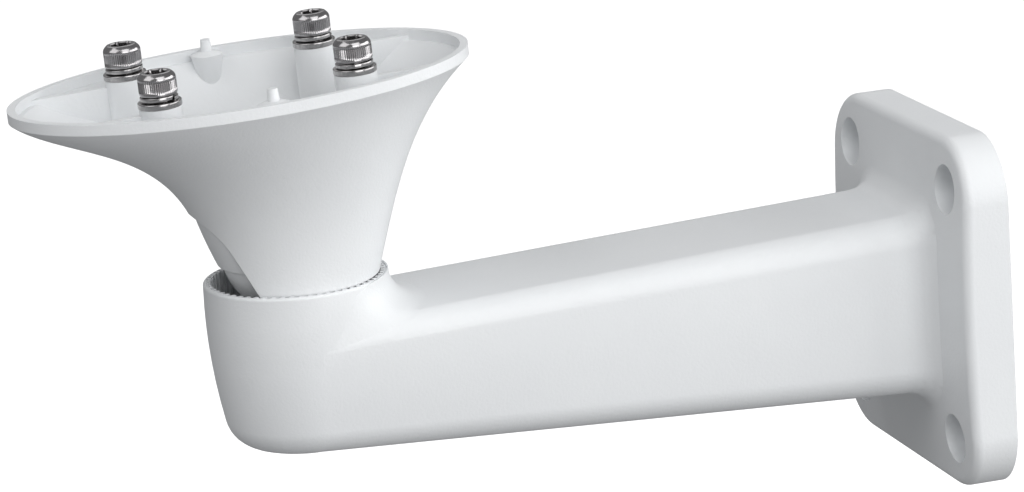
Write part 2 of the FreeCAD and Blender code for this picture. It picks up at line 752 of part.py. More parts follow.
def islands():
    """Casting features left standing inside the flare: posts, ribs and pin feet."""
    shapes = []
    for tag, sx, sy in seat_places():
        shapes.append(solid("Part::Cylinder", "post_" + tag, Radius="Sizes.seat_radius", Height="Sizes.rim_top",
                            Placement__Base__x=seat_x(sx), Placement__Base__y=seat_y(sy),
                            Placement__Base__z="-Sizes.ball_up"))
        start = seat_x(sx) if sx > 0 else "%s - Sizes.rim_half_x" % seat_x(sx)
        shapes.append(solid("Part::Box", "rib_" + tag, Length="Sizes.rim_half_x", Width="Sizes.rib_thick",
                            Height="Sizes.rim_top - Sizes.rib_drop", Placement__Base__x=start,
                            Placement__Base__y="%s - Sizes.rib_thick / 2" % seat_y(sy),
                            Placement__Base__z="-Sizes.ball_up"))
    for tag, sign in (("front", -1), ("back", 1)):
        for name, foot, head, height, base in (
                ("pin_foot_", "Sizes.pin_boss * 0.35", "Sizes.pin_boss * 0.96", "Sizes.pin_boss * 2.8",
                 "Sizes.rim_top - Sizes.pin_cap - 2.8 * Sizes.pin_boss"),
                ("pin_cap_", "Sizes.pin_boss * 0.96", "Sizes.pin_foot * 1.25", "Sizes.pin_cap",
                 "Sizes.rim_top - Sizes.pin_cap")):
            shapes.append(solid("Part::Cone", name + tag, Radius1=foot, Radius2=head, Height=height,
                                Placement__Base__x="-Sizes.rim_centre",
                                Placement__Base__y="%d * Sizes.pin_spread" % sign,
                                Placement__Base__z=base + " - Sizes.ball_up"))
    return shapes


def wedge_slot(name, half_formula, offset_formula="0"):
    """Slot through the dome, long enough for the whole tilt, cut as a wedge about the tilt axis."""
    slot = new_body(name)
    sketch = new_sketch(slot, "wedge", "XZ_Plane")
    far = size("ball_radius") + 2 * size("shell_wall")
    margin = 16.0
    angles = [90 - size("tilt_down") - size("rest_tilt") - margin, 90.0, 90 + size("tilt_up") + margin]
    add_outline(sketch, [(0, 0)] + [(far * math.cos(math.radians(a)), far * math.sin(math.radians(a)))
                                    for a in angles])
    block = slot.newObject("PartDesign::Pad", "wedge_pad")
    block.Profile = sketch
    block.SideType = "Symmetric"
    block.Length = 1.0
    block.setExpression("Length", "2 * (%s)" % half_formula)
    slot.setExpression("Placement.Base.y", offset_formula)
    return slot


def make_notch():
    """Arched recess in the front of the skirt, down to a slimmer inner wall."""
    arch = new_body("notch_arch")
    sketch = new_sketch(arch, "arch", "YZ_Plane")
    half, foot, up = size("notch_half"), size("notch_foot"), size("ball_up")
    crown = size("notch_top") - up
    spring = crown - half
    away = math.hypot(foot, spring + up)
    turn = math.acos(half / away) - math.atan2(spring + up, foot)
    side, level = half * math.cos(turn), spring + half * math.sin(turn)
    deep = foot + (foot - side) * 6.0 / (level + up)
    add_outline(sketch, [(-deep, -up - 6.0), (deep, -up - 6.0), (side, level), (-side, level)], {2: (0, crown)})
    pad(arch, sketch, "Sizes.rim_half_x", reverse=True)
    core = new_body("notch_core")
    side = new_sketch(core, "core_side", "XZ_Plane")
    inner = size("ball_radius") + size("ball_gap")
    low, high = size("notch_lip") - up, size("notch_top") + 2.0 - up
    add_outline(side, [(0, low), (inner + 0.7, low), (inner + 5.8, high), (0, high)],
                {1: (inner + 3.1, low + 0.4 * (high - low))})
    revolve(core, side)
    return cut("notch", arch, core)


def make_head_casting():
    ledge = "(Sizes.rim_lip + Sizes.rim_ledge)"
    outer = make_loft("flare_skin", [flare_ring("ring_%d" % k, k / FLARE_STEPS, "0")
                                     for k in range(FLARE_STEPS + 1)])
    band = rim_slab("rim_band", "Sizes.flare_high", "Sizes.rim_top", "0")
    blank = fuse("head_blank", outer, band)
    low = (size("cavity_floor") - size("flare_low")) / (size("flare_high") - size("flare_low"))
    shares = [low + (1 - low) * k / 6 for k in range(7)]
    hollow = make_loft("cavity_skin", [flare_ring("hollow_%d" % k, u, ledge) for k, u in enumerate(shares)])
    mouth = rim_slab("rim_mouth", "Sizes.flare_high", "Sizes.rim_top + 1", "Sizes.rim_lip")
    cavity = fuse("cavity", hollow, mouth)
    dome = solid("Part::Sphere", "dome", Radius=SHELL)
    standing = fuse("standing", dome, *islands())
    bowl = cut("bowl", cavity, standing)
    socket_ball = solid("Part::Sphere", "socket_ball", Radius="Sizes.ball_radius + Sizes.ball_gap")
    socket_bore = solid("Part::Cylinder", "socket_bore", Radius="Sizes.ball_radius + Sizes.ball_gap",
                        Height="3 * Sizes.ball_radius", Placement__Base__z="-3 * Sizes.ball_radius")
    tools = [bowl, socket_ball, socket_bore, make_notch(),
             wedge_slot("bolt_slot", CLAMP_HOLE + " + Sizes.ball_gap"),
             wedge_slot("cable_slot_back", "Sizes.cable_radius", "Sizes.cable_y"),
             wedge_slot("cable_slot_front", "Sizes.cable_radius", "-Sizes.cable_y")]
    for tag, sx, sy in seat_places():
        tools.append(solid("Part::Cylinder", "tapped_" + tag, Radius="Sizes.screw_dia / 2",
                           Height=TAP_DEPTH + " + 1", Placement__Base__x=seat_x(sx),
                           Placement__Base__y=seat_y(sy),
                           Placement__Base__z="Sizes.rim_top - %s - Sizes.ball_up" % TAP_DEPTH))
    shell = cut("head_shell", blank, fuse("head_tools", *tools))
    pins = [solid("Part::Cone", "pin_" + tag, Radius1="Sizes.pin_foot", Radius2="Sizes.pin_tip",
                  Height="Sizes.pin_height + 0.5", Placement__Base__x="-Sizes.rim_centre",
                  Placement__Base__y="%d * Sizes.pin_spread" % sign,
                  Placement__Base__z="Sizes.rim_top - 0.5 - Sizes.ball_up")
            for tag, sign in (("front_pin", -1), ("back_pin", 1))]
    head = fuse("head_casting", shell, *pins)
    doc.recompute()
    head.Placement = HEAD_FRAME
    return keep(head, "head_casting")


# ---------------------------------------------------------------------------
# Housing screws with their spring and flat washers
# ---------------------------------------------------------------------------
def make_housing_screw(label):
    """Socket head cap screw; its own origin is under the head."""
    body = new_body(label)
    head = new_sketch(body, "head")
    add_circle(head, "Sizes.screw_head_dia / 2")
    cap = pad(body, head, "Sizes.screw_head")
    doc.recompute()
    rim = edges_where(cap.Shape, lambda e: e.BoundBox.ZMin > size("screw_head") / 2)
    soft = body.newObject("PartDesign::Chamfer", "soft_edge")
    soft.Base = (cap, rim)
    soft.Size = 0.5
    doc.recompute()
    socket = new_sketch(body, "socket")
    socket.setExpression("AttachmentOffset.Base.z", "Sizes.screw_head")
    add_polygon(socket, "Sizes.screw_flats")
    pocket(body, socket, "Sizes.screw_head / 2")
    shank = new_sketch(body, "shank")
    add_circle(shank, "Sizes.screw_dia / 2 - Sizes.thread_gap")
    pad(body, shank, "Sizes.screw_length", reverse=True)
    return keep(body, label)


def on_seat(part, sx, sy, lift):
    """Stand a part on a screw post, lift above the post's top."""
    x = -size("rim_centre") + sx * size("seat_x") / 2
    y = sy * size("seat_y") / 2
    z = size("rim_top") - size("ball_up") + lift
    part.Placement = HEAD_FRAME * Placement(Vector(x, y, z), Rotation(Z_AXIS, 20 + 35 * (sx + 2 * sy)))


def make_housing_fasteners():
    flat, spring = size("washer_thick"), size("spring_thick")
    for tag, sx, sy in seat_places():
        washer = make_ring("flat_washer_" + tag, "Sizes.washer_dia / 2", "Sizes.screw_dia / 2 + 0.2",
                           "Sizes.washer_thick")
        on_seat(washer, sx, sy, 0.0)
        lock = make_ring("spring_washer_" + tag, "Sizes.spring_dia / 2", "Sizes.screw_dia / 2 + 0.1",
                         "Sizes.spring_thick", split=True)
        on_seat(lock, sx, sy, flat)
        on_seat(make_housing_screw("housing_screw_" + tag), sx, sy, flat + spring)


def make_clamp_stack():
    make_ball_knuckle()
    make_ball_saddle()
    level = saddle_base()
    for label, outer, inner, thick, split in (
            ("clamp_washer", "Sizes.clamp_washer_dia / 2", CLAMP_HOLE,
             "clamp_washer_thick", False),
            ("clamp_spring_washer", "Sizes.clamp_spring_dia / 2", CLAMP_HOLE,
             "clamp_spring_thick", True)):
        ring = make_ring(label, outer, inner, "Sizes." + thick, split)
        at_cup(ring, "%.6f" % level)
        level += size(thick)
    make_clamp_bolt(level)
    make_clamp_nut()
    make_cup_plug()


# ---------------------------------------------------------------------------
# Build, check and write
# ---------------------------------------------------------------------------
def check_and_write():
    doc.recompute()
    faults = [o.Name for o in doc.Objects if "Invalid" in o.State or "Error" in o.State]
    if faults:
        raise RuntimeError("failed objects: %s" % ", ".join(faults))
    os.makedirs("parts", exist_ok=True)
    for part in SUBPARTS:
        if part.Shape.isNull() or not part.Shape.isValid():
            raise RuntimeError("bad shape: %s" % part.Label)
        print("%-28s solids %d  volume %9.0f" % (part.Label, len(part.Shape.Solids), part.Shape.Volume))
        part.Shape.exportStep("parts/%s.step" % part.Label)


make_arm_casting()
make_clamp_stack()
make_head_casting()
make_housing_fasteners()
check_and_write()
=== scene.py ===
"""Wall bracket for a camera housing, dressed for Blender 4.5.

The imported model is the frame.  Its castings and clamp parts are welded copies with a
finish; the four screws on the rim and their washers are made again as fine surfaces
worked out with numpy, and a hollow blend is added between arm and cup.
Metres throughout; lengths typed in millimetres are multiplied by MM.
"""
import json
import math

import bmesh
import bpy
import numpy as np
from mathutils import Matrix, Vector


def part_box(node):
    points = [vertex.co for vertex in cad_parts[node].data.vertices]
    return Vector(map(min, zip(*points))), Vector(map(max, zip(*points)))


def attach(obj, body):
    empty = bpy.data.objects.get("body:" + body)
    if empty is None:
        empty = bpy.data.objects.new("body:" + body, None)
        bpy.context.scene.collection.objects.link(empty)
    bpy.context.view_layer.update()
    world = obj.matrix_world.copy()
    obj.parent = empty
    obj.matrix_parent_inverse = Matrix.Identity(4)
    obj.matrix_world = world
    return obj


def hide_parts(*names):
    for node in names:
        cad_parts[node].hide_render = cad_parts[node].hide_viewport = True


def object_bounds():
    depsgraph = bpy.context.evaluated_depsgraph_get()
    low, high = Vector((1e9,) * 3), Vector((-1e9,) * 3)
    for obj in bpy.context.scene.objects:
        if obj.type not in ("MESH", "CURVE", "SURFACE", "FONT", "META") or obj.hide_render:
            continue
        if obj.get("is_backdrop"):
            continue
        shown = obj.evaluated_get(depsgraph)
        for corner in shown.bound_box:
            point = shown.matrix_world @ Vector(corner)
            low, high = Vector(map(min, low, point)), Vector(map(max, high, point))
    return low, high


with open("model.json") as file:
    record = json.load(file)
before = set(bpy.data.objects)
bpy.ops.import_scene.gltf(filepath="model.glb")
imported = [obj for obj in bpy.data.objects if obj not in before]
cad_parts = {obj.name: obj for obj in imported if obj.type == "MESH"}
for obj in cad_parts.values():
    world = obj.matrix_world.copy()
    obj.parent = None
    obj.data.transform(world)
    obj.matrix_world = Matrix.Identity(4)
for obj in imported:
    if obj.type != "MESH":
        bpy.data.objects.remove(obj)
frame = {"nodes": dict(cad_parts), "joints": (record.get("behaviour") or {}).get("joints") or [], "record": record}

# %% [markdown]
# # The frame
# The bracket is a hollow arm on a wall plate. A ball joint in the cup at the arm's end
# carries a trumpet-shaped head, and the camera's housing is screwed down on the head's
# rim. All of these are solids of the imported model, which moves by its own joints. A
# script that dresses such a model needs three things from it: its box, so that nothing
# grows out of it, the name of the body that each piece belongs to, and where the seats
# of the screws are. The seat's direction is read from the record, not typed again.

MM = 0.001
cad_low, cad_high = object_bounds()
MOUNTS = {mount["name"]: mount for mount in frame["record"]["mounts"]}
JOINTS = {joint["name"]: joint for joint in frame["joints"]}
RIM_UP = Vector(MOUNTS["housing_seat"]["axis"]).normalized()
CUP_X = JOINTS["pan"]["pos_m"][0]
SEATS = ("front_left", "back_left", "front_right", "back_right")
print("model box, mm:", [round(v / MM, 1) for v in cad_high - cad_low])
print("rim leans by %.2f degrees" % math.degrees(RIM_UP.angle(Vector((0, 0, 1)))))

# %% [markdown]
# # From numbers to meshes
# Nearly every small part here is turned on a lathe or rolled, so its surface is a
# function of two parameters: the angle round an axis and the place along a profile.
# Such a surface is a grid of points. Working the whole grid out as numpy arrays is
# short and quick, and one call hands it to Blender. A grid that closes on itself both
# ways, or runs into the axis at both ends, is a closed shell with faces pointing out.

# %% A grid of points becomes a mesh
def grid_faces(rows, columns, wrap_rows=False, wrap_columns=True):
    """Corner numbers of the quads of a grid, row by row.

    Quad (i, j) joins points (i, j), (i, j+1), (i+1, j+1) and (i+1, j), where j counts
    round the axis and i along the profile; the last row or column may join the first.
    """
    i, j = np.meshgrid(np.arange(rows if wrap_rows else rows - 1),
                       np.arange(columns if wrap_columns else columns - 1), indexing="ij")
    below, after = (i + 1) % rows, (j + 1) % columns
    row, next_row = i * columns, below * columns
    return np.stack([row + j, row + after, next_row + after, next_row + j], axis=-1).reshape(-1, 4)


def mesh_object(name, points, faces, body, smooth_angle=30.0):
    """Object from an array of points and an array of quads, merged, smooth and riding on a body."""
    mesh = bpy.data.meshes.new(name)
    mesh.from_pydata(points.reshape(-1, 3).tolist(), [], faces.tolist())
    made = bpy.data.objects.new(name, mesh)
    bpy.context.scene.collection.objects.link(made)
    return finish_mesh(made, body, smooth_angle)


def finish_mesh(made, body, smooth_angle=30.0, weld=1e-7, outward=True):
    """Weld doubled points, turn the faces out, shade smooth under an angle and ride on a body."""
    work = bmesh.new()
    work.from_mesh(made.data)
    bmesh.ops.remove_doubles(work, verts=work.verts, dist=weld)
    bmesh.ops.dissolve_degenerate(work, edges=work.edges, dist=weld)
    if outward:
        bmesh.ops.recalc_face_normals(work, faces=work.faces)
    work.to_mesh(made.data)
    work.free()
    made.data.shade_smooth()
    made.data.set_sharp_from_angle(angle=math.radians(smooth_angle))
    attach(made, body)
    return made


def turned(profile, angles, ripple=None):
    """Points of a surface of revolution about Z.

    profile is rows of (radius, height); point (i, j) is (r_i cos a_j, r_i sin a_j, z_i).
    ripple, if given, is an array of the grid's shape that is added to the radius.
    """
    radius, height = np.asarray(profile, float).T
    radius = radius[:, None] + (0.0 if ripple is None else ripple) + 0.0 * angles[None, :]
    spread = np.broadcast_to(height[:, None], radius.shape)
    return np.stack([radius * np.cos(angles), radius * np.sin(angles), spread], axis=-1)


def full_turn(count):
    """count angles round a full circle, without the repeated last one."""
    return np.linspace(0.0, 2 * np.pi, count, endpoint=False)


def stand_on(points, origin, up, spin=0.0):
    """Turn an array of points about Z by spin, lean Z over to up, and move it to origin; all in metres."""
    lean = Vector((0, 0, 1)).rotation_difference(Vector(up)).to_matrix() @ Matrix.Rotation(spin, 3, "Z")
    return points.reshape(-1, 3) @ np.array(lean).T + np.array(origin)


def rounded(corners, radius, steps=4):
    """Profile with each inner corner replaced by a quadratic curve that starts radius before it.

    The curve from a through corner b to c is (1-t)^2 a + 2t(1-t) b + t^2 c.
    """
    corners = [np.array(c, float) for c in corners]
    out = [corners[0]]
    t = np.linspace(0.0, 1.0, steps + 1)[:, None]
    for before, corner, after in zip(corners, corners[1:], corners[2:]):
        back, ahead = before - corner, after - corner
        cut = min(radius, np.linalg.norm(back) * 0.49, np.linalg.norm(ahead) * 0.49)
        a = corner + back / np.linalg.norm(back) * cut
        c = corner + ahead / np.linalg.norm(ahead) * cut
        out += list((1 - t) ** 2 * a + 2 * t * (1 - t) * corner + t ** 2 * c)
    return np.array(out + [corners[-1]])


print("3 rings of 4 points make %d quads, closed on themselves %d"
      % (len(grid_faces(3, 4)), len(grid_faces(3, 4, wrap_rows=True))))

# %% [markdown]
# # Building materials
# A material is a small graph. Colours are given as the hex values that a paint chart or
# a screen shows, which are not linear light, so one function turns them into the linear
# values that the renderer adds up. One more function adds a node, sets it and wires it.
# All the patterns read Object coordinates: every piece stands at the origin with its
# place in its mesh, so one metre of pattern is one metre of part.

# %% Colour and node helpers
def linear(hex_colour):
    """Linear RGBA of an sRGB hex colour: v/12.92 below 0.04045, else ((v+0.055)/1.055)^2.4."""
    channels = [int(hex_colour[k:k + 2], 16) / 255 for k in (1, 3, 5)]
    return tuple(v / 12.92 if v <= 0.04045 else ((v + 0.055) / 1.055) ** 2.4 for v in channels) + (1.0,)


def add_node(tree, kind, settings=None, links=None):
    """Add a node, set its properties and sockets by name, and link its inputs from other outputs."""
    made = tree.nodes.new(kind)
    for name, value in (settings or {}).items():
        if isinstance(name, str) and hasattr(made, name):
            setattr(made, name, value)
        else:
            made.inputs[name].default_value = value
    for name, source in (links or {}).items():
        tree.links.new(source, made.inputs[name])
    return made


def new_material(name, hex_colour, **settings):
    """Material with one Principled shader; returns material, tree, shader and the Object coordinates."""
    material = bpy.data.materials.new(name)
    material.use_nodes = True
    tree = material.node_tree
    shader = tree.nodes["Principled BSDF"]
    shader.inputs["Base Color"].default_value = linear(hex_colour)
    for socket, value in settings.items():
        shader.inputs[socket.replace("_", " ")].default_value = value
    place = add_node(tree, "ShaderNodeTexCoord").outputs["Object"]
    return material, tree, shader, place


def waves_per_metre(size_mm):
    """Noise scale that puts one lump of a noise texture in this many millimetres."""
    return 1.0 / (size_mm * MM)


def noise(tree, place, size_mm, detail, roughness=0.5):
    """Noise texture with lumps of a size in millimetres."""
    settings = {"Scale": waves_per_metre(size_mm), "Detail": detail, "Roughness": roughness}
    return add_node(tree, "ShaderNodeTexNoise", settings, {"Vector": place})


def between(tree, texture, low, high):
    """Spread the middle of a noise, where nearly all of its values lie, from low to high."""
    settings = {"From Min": 0.3, "From Max": 0.7, "To Min": low, "To Max": high}
    return add_node(tree, "ShaderNodeMapRange", settings, {"Value": texture.outputs["Fac"]})


def bump(tree, height, strength, deep_mm, normal=None):
    """Bump of a depth in millimetres, on top of another normal if one is given."""
    links = {"Height": height} if normal is None else {"Height": height, "Normal": normal}
    return add_node(tree, "ShaderNodeBump", {"Strength": strength, "Distance": deep_mm * MM}, links)


print("half grey on a screen, #808080, is %.3f in linear light" % linear("#808080")[0])

# %% [markdown]
# # Powder coat on die-cast aluminium
# Both castings are sprayed with white powder and baked. The powder melts into a satin
# skin that is slightly uneven over a few millimetres, like orange peel, and has a finer
# grain of half-melted specks on top. The skin pulls back from edges and lies thicker in
# inner corners, which softens every edge of the casting. So there are three patterns:
# orange peel in the bump, grain in the bump and the roughness, and wide patches in the
# colour. A Bevel node rounds the shading of the edges by the thickness of the paint.

# %% Powder coat
PEEL_MM, GRAIN_MM, PATCH_MM, PAINT_EDGE_MM = 2.6, 0.8, 34.0, 0.28
PEEL_DEEP_MM, GRAIN_DEEP_MM = 0.06, 0.08


def powder_coat():
    """White satin paint: patches tint it, grain roughens it, orange peel and grain lift its normal."""
    material, tree, shader, place = new_material("white_powder_coat", "#E6E8EA", Roughness=0.42, IOR=1.5)
    patches = noise(tree, place, PATCH_MM, 3.0)
    tint = add_node(tree, "ShaderNodeMix", {"data_type": "RGBA", 6: linear("#E2E4E6"), 7: linear("#EAECED")},
                    {0: patches.outputs["Fac"]})
    grain = noise(tree, place, GRAIN_MM, 2.0, 0.6)
    peel = noise(tree, place, PEEL_MM, 1.0)
    dull = between(tree, grain, 0.38, 0.50)
    paint_edge = add_node(tree, "ShaderNodeBevel", {"samples": 6, "Radius": PAINT_EDGE_MM * MM})
    wavy = bump(tree, peel.outputs["Fac"], 0.25, PEEL_DEEP_MM, paint_edge.outputs["Normal"])
    grainy = bump(tree, grain.outputs["Fac"], 0.8, GRAIN_DEEP_MM, wavy.outputs["Normal"])
    tree.links.new(tint.outputs[2], shader.inputs["Base Color"])
    tree.links.new(dull.outputs["Result"], shader.inputs["Roughness"])
    tree.links.new(grainy.outputs["Normal"], shader.inputs["Normal"])
    return material


POWDER_COAT = powder_coat()
print("powder coat: grain %.2f mm, orange peel %.1f mm" % (GRAIN_MM, PEEL_MM))

# %% [markdown]
# # Stainless steel, rolled and turned
# The screws are cold-headed from A2 stainless wire, the washers punched from sheet. The
# metal is a neutral grey and glossy enough to show the room as dark and light streaks.
# Fine turning lines run round the parts, and the roughness changes in small patches
# where the tumbling wore them. The lines here are a noise stretched flat along the axis.

# %% Stainless steel
TURNING_MM, TURNING_DEEP_MM, TUMBLE_MM = 0.12, 0.01, 1.5


def stainless(name, hex_colour, smoothest, roughest):
    """Bare metal with turning lines across Z and worn patches between two roughnesses."""
    material, tree, shader, place = new_material(name, hex_colour, Metallic=1.0, Roughness=smoothest)
    squeeze = add_node(tree, "ShaderNodeMapping", {"Scale": (0.05, 0.05, 1.0)}, {"Vector": place})
    lines = noise(tree, squeeze.outputs["Vector"], TURNING_MM, 2.0)
    dull = between(tree, noise(tree, place, TUMBLE_MM, 4.0), smoothest, roughest)
    ridges = bump(tree, lines.outputs["Fac"], 0.25, TURNING_DEEP_MM)
    tree.links.new(dull.outputs["Result"], shader.inputs["Roughness"])
    tree.links.new(ridges.outputs["Normal"], shader.inputs["Normal"])
    return material


SCREW_STEEL = stainless("a2_stainless_cold_headed", "#AEACAD", 0.12, 0.24)
WASHER_STEEL = stainless("a2_stainless_punched", "#B2B0B0", 0.13, 0.26)
print("stainless: turning lines %.2f mm" % TURNING_MM)

# %% [markdown]
# # The parts that hardly show
# The ball knuckle is sprayed together with the castings. The saddle inside the head is
# zinc-plated steel, a little blue, with faint yellow clouds from the passivation. The
# plug under the cup is moulded plastic with a fine spark-eroded texture.

# %% Zinc plate and moulded plastic
CLOUD_MM, SPARK_MM, SPARK_DEEP_MM = 5.0, 0.35, 0.03


def zinc_plate():
    """Steel with a thin zinc plate whose passivation runs from blue to yellow in clouds."""
    material, tree, shader, place = new_material("zinc_plated_steel", "#B9BCC0", Metallic=1.0, Roughness=0.3)
    clouds = noise(tree, place, CLOUD_MM, 3.0)
    tint = add_node(tree, "ShaderNodeMix", {"data_type": "RGBA", 6: linear("#B4BBC4"), 7: linear("#C4BFA8")},
                    {0: clouds.outputs["Fac"]})
    tree.links.new(tint.outputs[2], shader.inputs["Base Color"])
    return material


def moulded_plastic():
    """White polyamide out of a spark-eroded mould."""
    material, tree, shader, place = new_material("moulded_polyamide_white", "#DEE0E0", Roughness=0.55,
                                                 IOR=1.53)
    spark = noise(tree, place, SPARK_MM, 2.0)
    texture = bump(tree, spark.outputs["Fac"], 0.4, SPARK_DEEP_MM)
    tree.links.new(texture.outputs["Normal"], shader.inputs["Normal"])
    return material


ZINC_PLATE, PLASTIC = zinc_plate(), moulded_plastic()
print("materials:", [material.name for material in bpy.data.materials])

# %% [markdown]
# # The castings
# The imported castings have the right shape, but their meshes come in patches with normals
# of their own. A copy forgets those normals and has its points welded. Then it can be
# shaded smoothly wherever two faces meet at a shallow angle, so the curved walls lose
# their facets and the real edges stay crisp. Each corner's normal is weighted by the
# area of the faces round it, so a large flat face stays flat up to the roundings at its
# edge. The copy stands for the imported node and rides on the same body.

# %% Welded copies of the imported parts
def painted_copy(node_name, material, body, smooth_angle=32.0):
    """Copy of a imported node, welded and smooth below an angle, with one material."""
    copy = bpy.data.objects.new(node_name + "_skin", frame["nodes"][node_name].data.copy())
    bpy.context.scene.collection.objects.link(copy)
    copy.data.attributes.remove(copy.data.attributes["custom_normal"])
    finish_mesh(copy, body, smooth_angle, weld=2e-6, outward=False)
    weighted = copy.modifiers.new("normals_by_area", "WEIGHTED_NORMAL")
    weighted.mode, weighted.weight, weighted.keep_sharp = "FACE_AREA", 100, True
    copy.data.materials.clear()
    copy.data.materials.append(material)
    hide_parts(node_name)
    return copy


arm = painted_copy("arm_casting", POWDER_COAT, "arm")
head = painted_copy("head_casting", POWDER_COAT, "head")
knuckle = painted_copy("ball_knuckle", POWDER_COAT, "swivel")
saddle = painted_copy("ball_saddle", ZINC_PLATE, "swivel")
for node_name, body in (("clamp_washer", "swivel"), ("clamp_spring_washer", "swivel"),
                        ("clamp_bolt", "swivel"), ("clamp_nut", "arm")):
    painted_copy(node_name, WASHER_STEEL, body)
plug = painted_copy("cup_plug", PLASTIC, "arm")
print("castings:", len(arm.data.polygons), "and", len(head.data.polygons), "faces")

# %% [markdown]
# # The blend between arm and cup
# In the mould, the arm's top runs up into the wall of the cup in a hollow curve of
# 9.5 mm. The hollow is a height added to the arm's own top surface, and it depends only on
# the distance from the cup's wall. Over the arm's round shoulders, where arm and cup
# turn to face the same way, it narrows slowly at first and then quickly, so its outline
# rounds the corner and runs out flush with both.

# %% Fillet between the arm's top and the cup
BARREL_R, BLEND_R, ARM_ROUND = 24.79, 9.5, 6.2
ARM_HALF, TIP_TOP, TOP_SLOPE = 24.55, 17.8, 0.0448
SINK, INSIDE, THICK, NARROWER = 0.006, 0.4, 0.6, 0.985


def shoulder(y):
    """Share of the arm's round shoulder that y has crossed, from 0 on the flat to 1 at the side."""
    return np.clip((np.abs(y) - (ARM_HALF - ARM_ROUND)) / ARM_ROUND, 0.0, 1.0)


def arm_top(x, y):
    """Height of the arm's top: a sloping plane whose sides fall by R (1 - sqrt(1 - u^2)).

    u runs from 0 to 1 over the round shoulder, which is a quarter of a circle.
    """
    return TIP_TOP + TOP_SLOPE * x - ARM_ROUND * (1 - np.sqrt(1 - shoulder(y) ** 2))


def blend_reach(y):
    """Width of the hollow beside the cup's wall: R (1 - u^6), u the share of the shoulder."""
    return BLEND_R * (1 - shoulder(y) ** 6)


def hollow(distance, reach):
    """Height of a hollow quarter circle at a distance from the wall: R - sqrt(R^2 - (R-d)^2)."""
    left = reach - np.clip(distance, 0.0, reach)
    return reach - np.sqrt(np.maximum(reach ** 2 - left ** 2, 0.0))


def cup_blend():
    """Closed wedge: its top is arm_top + hollow, its underside lies inside the arm.

    A row of points runs out from the wall, where they are closest together, and back
    underneath; the rows are spread across the arm. SINK lowers the top by a few
    micrometres, so that its outer edge ends just under the arm's top.
    """
    share = np.linspace(0.0, 1.0, 41) ** 1.4
    across = (ARM_HALF - 0.05) * np.sin(np.linspace(-np.pi / 2, np.pi / 2, 129))
    reach = blend_reach(across)[:, None]
    start = np.sqrt(np.maximum((BARREL_R - INSIDE) ** 2 - across ** 2, 0.0))[:, None]
    end = np.sqrt((BARREL_R + reach) ** 2 - across[:, None] ** 2)
    x = start + (end - start) * share[None, :]
    y = np.broadcast_to(across[:, None], x.shape)
    top = arm_top(x, y) + hollow(np.hypot(x, y) - BARREL_R, reach) - SINK
    low = np.minimum(arm_top(x, y), top) - THICK
    upper = np.stack([x, y, top], axis=-1)
    lower = np.stack([x, y * NARROWER, low], axis=-1)
    ring = np.concatenate([upper, lower[:, ::-1]], axis=1)
    place = np.array([CUP_X / MM, 0.0, 0.0])
    rows, columns = ring.shape[:2]
    c = np.arange(share.size - 1)
    first_end = np.stack([c + 1, c, columns - 1 - c, columns - 2 - c], axis=1)
    last_end = first_end[:, ::-1] + (rows - 1) * columns
    faces = np.concatenate([grid_faces(rows, columns), first_end, last_end])
    piece = mesh_object("cup_blend", (ring + place) * MM, faces, "arm", 60.0)
    piece.data.materials.append(POWDER_COAT)
    return piece


blend = cup_blend()
print("blend faces:", len(blend.data.polygons))

# %% [markdown]
# # Socket cap screws
# An M6 socket cap screw is 10 mm across and 6 mm tall. Its flank is rolled with straight
# knurls between two smooth bands, its top edge is rounded, and a hexagon of 5 mm is
# punched into it over a conical bore. The head is one grid: the profile runs from under
# the head up the flank, over the top, down the socket's walls to its bottom. Only the
# radius changes with the angle, by the knurl's ridges or by the hexagon's flats.

# %% Screw head and thread
HEAD_R, HEAD_H, FOOT_EDGE, TOP_EDGE, EDGE_ROUND = 5.0, 6.0, 0.35, 1.1, 0.75
SOCKET_FLATS, SOCKET_DEPTH, MOUTH_R, MOUTH_DEPTH, BORE_R, BORE_DEPTH = 5.0, 3.2, 3.05, 0.3, 1.9, 0.9
KNURLS, KNURL_STEPS, KNURL_DEPTH, KNURL_FROM, KNURL_TO, KNURL_FADE = 54, 6, 0.26, 1.05, 4.25, 0.2
THREAD_R, THREAD_PITCH, THREAD_DEPTH, SHANK_LENGTH, POINT_R = 2.95, 1.0, 0.45, 13.9, 0.5


